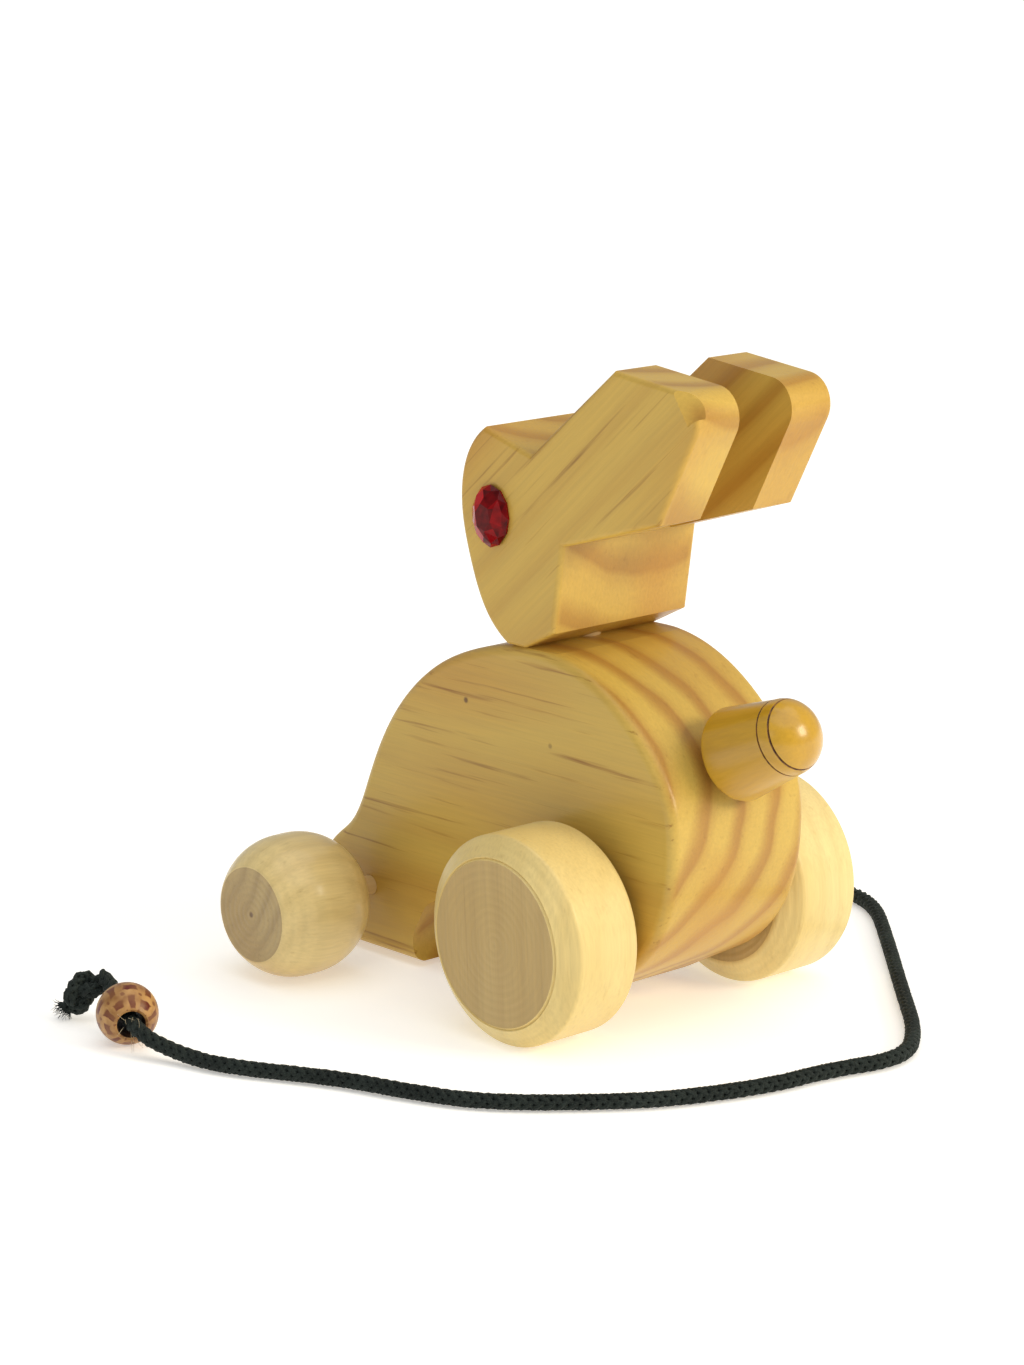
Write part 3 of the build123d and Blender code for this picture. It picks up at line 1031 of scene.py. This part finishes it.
@dataclass
class Eyes:
    """Oval cut gems glued to the sides of the head, in millimetres."""

    centre: Triple = (7.7, 22.0, 117.0)
    half_width: float = 6.0
    half_height: float = 7.5
    depth: float = 3.4
    sides: int = 12

    def shape(self, side: Side) -> bmesh.types.BMesh:
        """Cuts one gem as the hull of its rings of corners.

        Args:
            side: Which side of the head it is on.

        Returns:
            The gem in its place, with a tone for each facet: its own depth of red, plus painted light on
            the facets that face forward.
        """
        gem = bmesh.new()
        half_step = math.pi / self.sides
        # each ring's size, its height, its turn and its number of corners
        rings = [
            (0.96, 0.0, 0.0, self.sides),
            (1.0, 0.22, 0.0, self.sides),
            (0.86, 0.55, half_step, self.sides),
            (0.62, 0.86, 0.0, self.sides // 2),
            (0.44, 1.0, half_step, self.sides // 2),
        ]
        for scale, height, turn, corners in rings:
            ring = bmesh.ops.create_circle(gem, segments=corners, radius=scale)["verts"]
            bmesh.ops.rotate(gem, cent=(0, 0, 0), matrix=Matrix.Rotation(turn, 3, "Z"), verts=ring)
            bmesh.ops.scale(gem, vec=(self.half_width * MM, self.half_height * MM, 1), verts=ring)
            bmesh.ops.translate(gem, vec=(0, 0, height * self.depth * MM), verts=ring)
        hull = bmesh.ops.convex_hull(gem, input=gem.verts[:])
        spare = hull["geom_interior"] + hull["geom_unused"]
        loose = {item for item in spare if isinstance(item, bmesh.types.BMVert)}
        bmesh.ops.delete(gem, geom=list(loose), context="VERTS")
        flat = math.radians(2)
        bmesh.ops.dissolve_limit(gem, angle_limit=flat, verts=gem.verts[:], edges=gem.edges[:])
        tone_and_painted_light = gem.faces.layers.float.new("facet")
        draw = random.Random(11 + side.value)
        # facets that face forward are painted lighter, as painted light, the table and the rest stay deep,
        # and the random part is each facet's own depth of red
        for face in gem.faces:
            painted_lit = 0.4 if face.normal.x > 0.15 else 0.0
            face[tone_and_painted_light] = 0.0 if face.normal.z > 0.98 else painted_lit + draw.choice((0.0, 0.02, 0.08, 0.2))
        # the gem's own width lies along X, its height along Z and its crown outwards
        stand = Matrix.Rotation(math.radians(-90 * side.value), 4, "X")
        x, y, z = self.centre
        place = Matrix.Translation(mm((x, side.value * y, z))) @ stand
        bmesh.ops.transform(gem, matrix=place, verts=gem.verts[:])
        bmesh.ops.recalc_face_normals(gem, faces=gem.faces[:])
        return gem

    def build(self) -> None:
        """Makes both gems."""
        acrylic = CutAcrylic().material()
        for side in Side:
            end = side.name.lower()
            piece(
                f"cut_gem_{end}",
                self.shape(side),
                [acrylic],
                Body.TOY,
                (f"eye_{end}",),
                smooth_angle=None,
            )


@dataclass
class PullCord:
    """A braided cord from a knot in the arch, round the toy to a bead and a knot, in millimetres."""

    route: tuple[Triple, ...] = (
        (34.6, 0, 7.5),
        (56.5, 0, 7.45),
        (79, 0, 7.3),
        (100.5, -6.5, 3.2),
        (116, -24, 2.1),
        (119, -50, 2.1),
        (106, -75, 2.1),
        (80, -93, 2.1),
        (46, -102.5, 2.1),
        (12, -99.8, 2.1),
        (-7, -98.3, 2.1),
        (-33, -74.5, 2.1),
        (-62, -47.2, 2.1),
        (-84, -27, 2.1),
        (-95, -11, 2.1),
        (-88.8, 9, 2.1),
        (-87.3, 24.5, 2.1),
        (-80.5, 43.5, 2.1),
        (-73, 56.5, 2.1),
        (-53.5, 79, 2.1),
        (-36, 87.2, 2.1),
        (-18.5, 92.8, 2.1),
        (4, 106.2, 2.1),
        (17.5, 109.2, 2.3),
        (29.1, 113.6, 6.0),
        (45.2, 104.9, 8.53),
        (54.5, 103.6, 11.2),
    )
    diameter: float = 4.0
    length: float = 603.2
    exit: Triple = (60.0, 0, 7.4)
    pitch: float = 10.0
    plies: int = 4
    ply_radius: float = 0.62
    ply_orbit: float = 1.2
    ply_swing: float = 0.2
    core_swell: float = 1.7
    step: float = 0.75
    knot_centre: Triple = (58.0, 106.4, 7.0)
    knot_run: Triple = (0.72, 0.40, -0.57)
    knot_half: float = 6.6
    knot_waist: float = 4.3
    anchor_centre: Triple = (31.6, 0, 7.5)
    anchor_run: Triple = (0, 1, 0.2)
    anchor_half: float = 4.5
    anchor_waist: float = 4.4
    end_top: Triple = (60.0, 107.6, 4.9)
    end_run: Triple = (0.40, 0.50, -0.62)
    end_length: float = 4.6
    bead_centre: Triple = (37.4, 109.1, 7.3)
    bead_radius: float = 7.25
    bead_half: float = 6.1
    bead_hole: float = 2.9
    bead_entry: int = 24

    def spline_points(self, points: tuple[Triple, ...]) -> list[Vector]:
        """Reads a smooth line off a NURBS spline.

        Args:
            points: The spline's control points.

        Returns:
            Points along it, close together.
        """
        curve = bpy.data.curves.new("route", "CURVE")
        curve.dimensions = "3D"
        curve.resolution_u = 32
        spline = curve.splines.new("NURBS")
        spline.points.add(len(points) - 1)
        for target, point in zip(spline.points, points):
            target.co = (*mm(point), 1)
        spline.order_u = 3
        spline.use_endpoint_u = True
        mesh = curve_mesh(curve)
        line = [vert.co.copy() for vert in mesh.vertices]
        bpy.data.meshes.remove(mesh)
        return line

    def evenly(self, line: list[Vector]) -> list[Vector]:
        """Walks along a line in equal steps.

        Args:
            line: The line's points, close together.

        Returns:
            Points on it one step apart, and its end.
        """
        walked = [line[0]]
        left = self.step * MM
        for a, b in zip(line, line[1:]):
            gap = (b - a).length
            while gap > left:
                a = a.lerp(b, left / gap)
                walked.append(a)
                gap -= left
                left = self.step * MM
            left -= gap
        return walked + [line[-1]]

    def braid(self, name: str, line: list[Vector], scale: float = 1.0) -> bpy.types.Mesh:
        """Plaits strands round a line, each over two and under two.

        Args:
            name: The mesh's name.
            line: The line's evenly spaced points.
            scale: The braid's thickness against the cord's.

        Returns:
            The braid's mesh.
        """
        curve = bpy.data.curves.new(name, "CURVE")
        curve.dimensions = "3D"
        curve.bevel_depth = self.ply_radius * MM * scale
        curve.bevel_resolution = 1
        curve.use_fill_caps = True
        last = len(line) - 1
        tangents = [(line[min(i + 1, last)] - line[max(i - 1, 0)]).normalized() for i in range(last + 1)]
        normal = tangents[0].orthogonal().normalized()
        sides = [normal]
        for before, after in zip(tangents, tangents[1:]):
            normal = before.rotation_difference(after) @ normal
            sides.append((normal - after * normal.dot(after)).normalized())
        walks = [0.0]
        for a, b in zip(line, line[1:]):
            walks.append(walks[-1] + (b - a).length / MM)
        strands = [(way, ply) for way in (1, -1) for ply in range(self.plies)]
        for way, ply in strands:
            spline = curve.splines.new("POLY")
            spline.points.add(len(line) - 1)
            for i, point in enumerate(line):
                rows = 2 * self.plies * walks[i] / (self.pitch * scale)
                turn = way * rows * math.pi / self.plies + math.tau * ply / self.plies
                swing = way * math.cos(math.pi / 2 * (way * rows + 2 * ply) - math.pi / 4)
                reach = (self.ply_orbit + self.ply_swing * swing) * MM * scale
                out = sides[i] * math.cos(turn) + tangents[i].cross(sides[i]) * math.sin(turn)
                spline.points[i].co = (*(point + out * reach), 1)
        core = curve.splines.new("POLY")
        core.points.add(len(line) - 1)
        for target, point in zip(core.points, line):
            target.co = (*point, 1)
            target.radius = self.core_swell
        return curve_mesh(curve)

    def knot(
        self,
        name: str,
        centre: Triple,
        run: Vector,
        half: float,
        waist: float,
        yarn: bpy.types.Material,
        node: str,
    ) -> bpy.types.Object:
        """Ties an overhand knot drawn up tight.

        Args:
            name: The piece's name.
            centre: Its middle.
            run: The direction that it is longest in.
            half: Half its length.
            waist: Half its thickness.
            yarn: The cord's material.
            node: The CAD node that it stands for.

        Returns:
            The knot's object.
        """
        thick = 0.95
        rope = self.diameter / 2 * thick
        place = along(run.normalized(), mm(centre))
        # a trefoil, whose loops reach 2.76 times its size, drawn in until the rope fills the knot
        trefoil = 2.76
        steps = 64
        loop = []
        for i in range(steps + 1):
            t = math.tau * i / steps
            across = (waist - rope) / trefoil * (math.cos(t) - 2 * math.cos(2 * t))
            lengthways = (half - rope) / trefoil * (math.sin(t) + 2 * math.sin(2 * t))
            loop.append(place @ mm((across, -(waist - rope) * math.sin(3 * t), lengthways)))
        mesh = self.braid(name, self.evenly(loop), thick)
        return piece(name, mesh, [yarn], Body.TOY, (node,), smooth_angle=60.0)

    def fibres(
        self,
        name: str,
        starts: list[tuple[Vector, Vector]],
        reach: float,
        spread: float,
        thick: float,
        yarn: bpy.types.Material,
        seed: int,
    ) -> bpy.types.Object:
        """Draws loose fibres that curl out of the cord.

        Args:
            name: The piece's name.
            starts: Where each fibre leaves the cord, and which way.
            reach: How long a fibre is.
            spread: How far its end may stray.
            thick: Its thickness.
            yarn: Its material.
            seed: The seed of their wander.

        Returns:
            The fibres' object.
        """
        draw = random.Random(seed)
        curve = bpy.data.curves.new(name, "CURVE")
        curve.dimensions = "3D"
        curve.resolution_u = 5
        curve.bevel_depth = thick / 2 * MM
        curve.bevel_resolution = 0
        curve.use_fill_caps = True
        for start, way in starts:
            spline = curve.splines.new("NURBS")
            spline.points.add(3)
            point = start.copy()
            stray = Vector([draw.uniform(-1, 1) for _ in range(3)]) * spread
            length = reach * draw.uniform(0.6, 1.0)
            for i, target in enumerate(spline.points):
                target.co = (*point, 1)
                target.radius = 1.0 - 0.2 * i
                point = point + (way * length / 3 + stray * (i + 0.5) / 4) * MM
                point.z = max(point.z, 0.15 * MM)
            spline.order_u = 3
            spline.use_endpoint_u = True
        return piece(name, curve_mesh(curve), [yarn], Body.TOY, smooth_angle=60.0)

    def bead(self) -> bpy.types.Object:
        """Turns the printed bead.

        Returns:
            The bead's object.
        """
        radius, half, hole = self.bead_radius, self.bead_half, self.bead_hole
        reach = math.asin(half / radius)
        turns_up = [reach * i / 10 for i in range(-10, 11)]
        outer = [(radius * math.cos(turn), radius * math.sin(turn)) for turn in turns_up]
        wall = [(hole + 0.45, half - 0.15), (hole, half - 1.2)]
        inner = wall + [(across, -height) for across, height in reversed(wall)]
        bead = turned(outer + inner, steps=72)
        turns = bead.loops.layers.uv.new("turns")
        for face in bead.faces:
            middle = face.calc_center_median()
            # faces of the hole's wall take the second material, which paints shade into the bore
            face.material_index = int(middle.xy.length < (hole + 0.3) * MM)
            about = math.atan2(middle.y, middle.x)
            for loop in face.loops:
                angle = math.atan2(loop.vert.co.y, loop.vert.co.x)
                angle += math.tau * round((about - angle) / math.tau)
                height = math.asin(max(-1.0, min(1.0, loop.vert.co.z / MM / radius)))
                loop[turns].uv = (angle / math.tau, height / math.pi + 0.5)
        bmesh.ops.transform(bead, matrix=along(self.bead_way(), mm(self.bead_centre)), verts=bead.verts[:])
        # the wall of the hole is painted near black, as painted shade inside the bore
        bore_shade = BurntLine(name="beech_bore_painted_shade", char="1d0f08", edge="3d2212")
        return piece(
            "printed_bead",
            bead,
            [PrintedBeadWood().material(), bore_shade.material()],
            Body.TOY,
            ("cord_bead",),
            smooth_angle=50.0,
            even=True,
        )

    def bead_way(self) -> Vector:
        """Gives the direction in which the cord goes through the bead."""
        return (mm(self.route[self.bead_entry + 1]) - mm(self.route[self.bead_entry])).normalized()

    def tuft(self, tip: Vector, run: Vector, count: int = 110) -> list[tuple[Vector, Vector]]:
        """Spreads the cut end's fibres over its section, as the seeds of a sunflower lie.

        Args:
            tip: Where the cord is cut.
            run: The way that its end points.
            count: How many fibres show.

        Returns:
            Where each fibre starts, and which way it leaves.
        """
        across = run.orthogonal().normalized()
        reach = 1.8
        seed_turn = 2.4
        starts = []
        for i in range(count):
            ring = Matrix.Rotation(i * seed_turn, 3, run) @ across
            start = tip + (ring * (reach * math.sqrt(i / count)) - run * 0.5) * MM
            starts.append((start, (run + ring * 0.5).normalized()))
        return starts

    def wisps(self, count: int = 16) -> list[tuple[Vector, Vector]]:
        """Places the fibres that the bead's mouth has rubbed loose.

        Args:
            count: How many fibres show.

        Returns:
            Where each fibre starts, and which way it leaves.
        """
        way = self.bead_way()
        mouth = mm(self.bead_centre) - way * self.bead_half * MM
        draw = random.Random(3)
        starts = []
        for _ in range(count):
            ring = Matrix.Rotation(draw.uniform(0, math.tau), 3, way) @ way.orthogonal().normalized()
            starts.append((mouth + ring * 1.9 * MM, (ring * 0.7 - way).normalized()))
        return starts

    def build(self) -> None:
        yarn = WaxedCotton("cotton_braid_waxed", dark="0b1210", light="2b3430").material()
        line = self.evenly(self.spline_points(self.route))
        plait = self.braid("pull_braid", line)
        cord = piece("pull_braid", plait, [yarn], Body.TOY, ("pull_cord",), smooth_angle=60.0)
        stopper = self.knot(
            "stopper_knot",
            self.knot_centre,
            Vector(self.knot_run),
            self.knot_half,
            self.knot_waist,
            yarn,
            "cord_stopper_knot",
        )
        anchor = self.knot(
            "anchor_knot",
            self.anchor_centre,
            Vector(self.anchor_run),
            self.anchor_half,
            self.anchor_waist,
            yarn,
            "cord_anchor_knot",
        )
        run = Vector(self.end_run).normalized()
        tip = mm(self.end_top) + run * self.end_length * 0.7 * MM
        stub_line = self.evenly([mm(self.end_top) - run * 1.5 * MM, tip])
        plait = self.braid("cut_end", stub_line, 0.95)
        stub = piece("cut_end", plait, [yarn], Body.TOY, ("cord_frayed_end",), smooth_angle=60.0)
        tuft = self.tuft(tip, run)
        ends = self.fibres("end_fibres", tuft, reach=1.9, spread=1.3, thick=0.2, yarn=yarn, seed=5)
        bead = self.bead()
        pale = WaxedCotton("cotton_core_frayed", dark="7d6f57", light="cdbf9f").material()
        wisps = self.wisps()
        frays = self.fibres("mouth_fibres", wisps, reach=3.4, spread=2.0, thick=0.14, yarn=pale, seed=8)


# --------------------------------------------------------------------- studio


@dataclass
class Studio:
    """The floor, the lights and the camera."""

    azimuth: float = 227.129
    elevation: float = 13.434
    roll: float = 0.1
    distance: float = 0.93994
    target: Triple = (0.02469, 0.0, 0.07040)
    lens: float = 101.94
    sensor: float = 36.0
    floor_radius: float = 9.0
    glow: float = 0.42

    def camera(self) -> None:
        """Places the camera."""
        az, el = math.radians(self.azimuth), math.radians(self.elevation)
        back = Vector((math.sin(az) * math.cos(el), -math.cos(az) * math.cos(el), math.sin(el)))
        data = bpy.data.cameras.new("camera")
        data.lens = self.lens
        data.sensor_width = self.sensor
        data.sensor_fit = "AUTO"
        data.clip_start = 0.01
        data.clip_end = 50
        data.dof.use_dof = False
        camera = bpy.data.objects.new("camera", data)
        bpy.context.scene.collection.objects.link(camera)
        look = (-back).to_track_quat("-Z", "Y").to_matrix().to_4x4()
        tilt = Matrix.Rotation(math.radians(self.roll), 4, "Z")
        stand = Matrix.Translation(Vector(self.target) + back * self.distance)
        camera.matrix_world = stand @ look @ tilt
        bpy.context.scene.camera = camera

    def floor(self) -> None:
        """Lays a round floor out to beyond the view."""
        disc = bmesh.new()
        bmesh.ops.create_circle(disc, cap_ends=True, segments=96, radius=self.floor_radius)
        mesh = bpy.data.meshes.new("floor")
        disc.to_mesh(mesh)
        disc.free()
        mesh.materials.append(FloorPaint().material())
        floor = bpy.data.objects.new("floor", mesh)
        bpy.context.scene.collection.objects.link(floor)

    def light(self, name: str, place: Triple, size: float, power: float, tint: str) -> None:
        """Hangs a soft box that faces the toy.

        Args:
            name: The light's name.
            place: Where it hangs, in metres.
            size: Its side, in metres.
            power: Its power, in watts.
            tint: Its colour.
        """
        data = bpy.data.lights.new(name, "AREA")
        data.shape = "SQUARE"
        data.size = size
        data.energy = power
        data.color = linear(tint)[:3]
        lamp = bpy.data.objects.new(name, data)
        bpy.context.scene.collection.objects.link(lamp)
        aim = (Vector((0, 0, 0.07)) - Vector(place)).to_track_quat("-Z", "Y")
        lamp.matrix_world = Matrix.Translation(Vector(place)) @ aim.to_matrix().to_4x4()

    def build(self) -> None:
        """Sets up the whole studio."""
        self.camera()
        self.floor()
        self.light("key_box", (-1.7, -0.75, 0.95), 0.7, 24.0, "fff1d6")
        self.light("near_box", (-0.4, 1.5, 0.8), 0.5, 0.8, "ffffff")
        sky = bpy.data.lights.new("sky_glow", "SUN")
        sky.energy = 1.1
        sky.angle = math.radians(70)
        lamp = bpy.data.objects.new("sky_glow", sky)
        bpy.context.scene.collection.objects.link(lamp)
        lamp.matrix_world = Matrix.Translation((0, 0, 2)) @ Matrix.Rotation(math.radians(-12), 4, "Y")
        world = bpy.data.worlds.new("pale_room")
        world.use_nodes = True
        glow = world.node_tree.nodes["Background"]
        glow.inputs["Color"].default_value = linear("ffffff")
        glow.inputs["Strength"].default_value = self.glow
        bpy.context.scene.world = world
        bpy.context.scene.view_settings.view_transform = "Standard"


def main() -> None:
    """Builds the scene, one sub-assembly after another."""
    logging.basicConfig(level=logging.INFO, format="%(name)s %(message)s")
    Studio().build()
    PullCord().build()
    Carcass().dress()
    RearWheels().build()
    FrontWheels().build()
    Tail().build()
    Eyes().build()
    bpy.context.view_layer.update()


if __name__ == "__main__":
    main()
